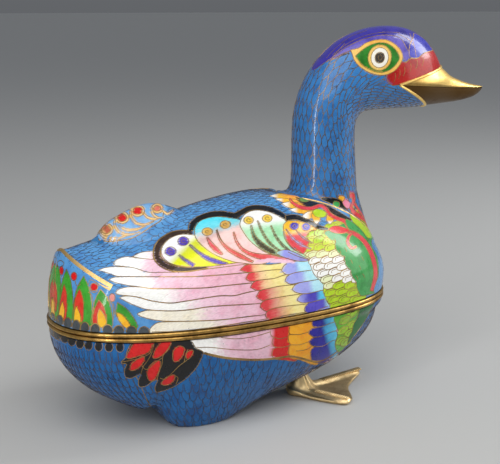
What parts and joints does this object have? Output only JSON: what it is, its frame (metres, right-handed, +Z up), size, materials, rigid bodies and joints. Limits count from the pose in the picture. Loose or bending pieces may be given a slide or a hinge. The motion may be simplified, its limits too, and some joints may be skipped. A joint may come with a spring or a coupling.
{
  "type": "enamel box",
  "caption": "Duck-shaped lidded trinket box of patterned enamel with gilt metal beak, webbed feet and rims; the back and neck lift off as the lid.",
  "frame": {"origin": "on the ground, under the middle of the box round the whole object", "axes": "+X towards the beak, +Y to the duck's left, +Z up"},
  "size_m": [0.2552, 0.0972, 0.1854],
  "materials": {
    "enamel_body": "glossy blue enamel over metal, divided by fine brass wires",
    "enamel_wings": "glossy many-coloured enamel over metal, divided by fine brass wires",
    "gilt_brass": "worn gilt brass, darkened in the hollows"
  },
  "bodies": {
    "root": {"bowl": "enamel_body", "bowl_rim": "gilt_brass", "lid": "enamel_wings", "lid_rim": "gilt_brass", "neck_and_head": "enamel_body", "beak": "gilt_brass", "foot_right": "gilt_brass", "foot_left": "gilt_brass"}
  },
  "joints": []
}
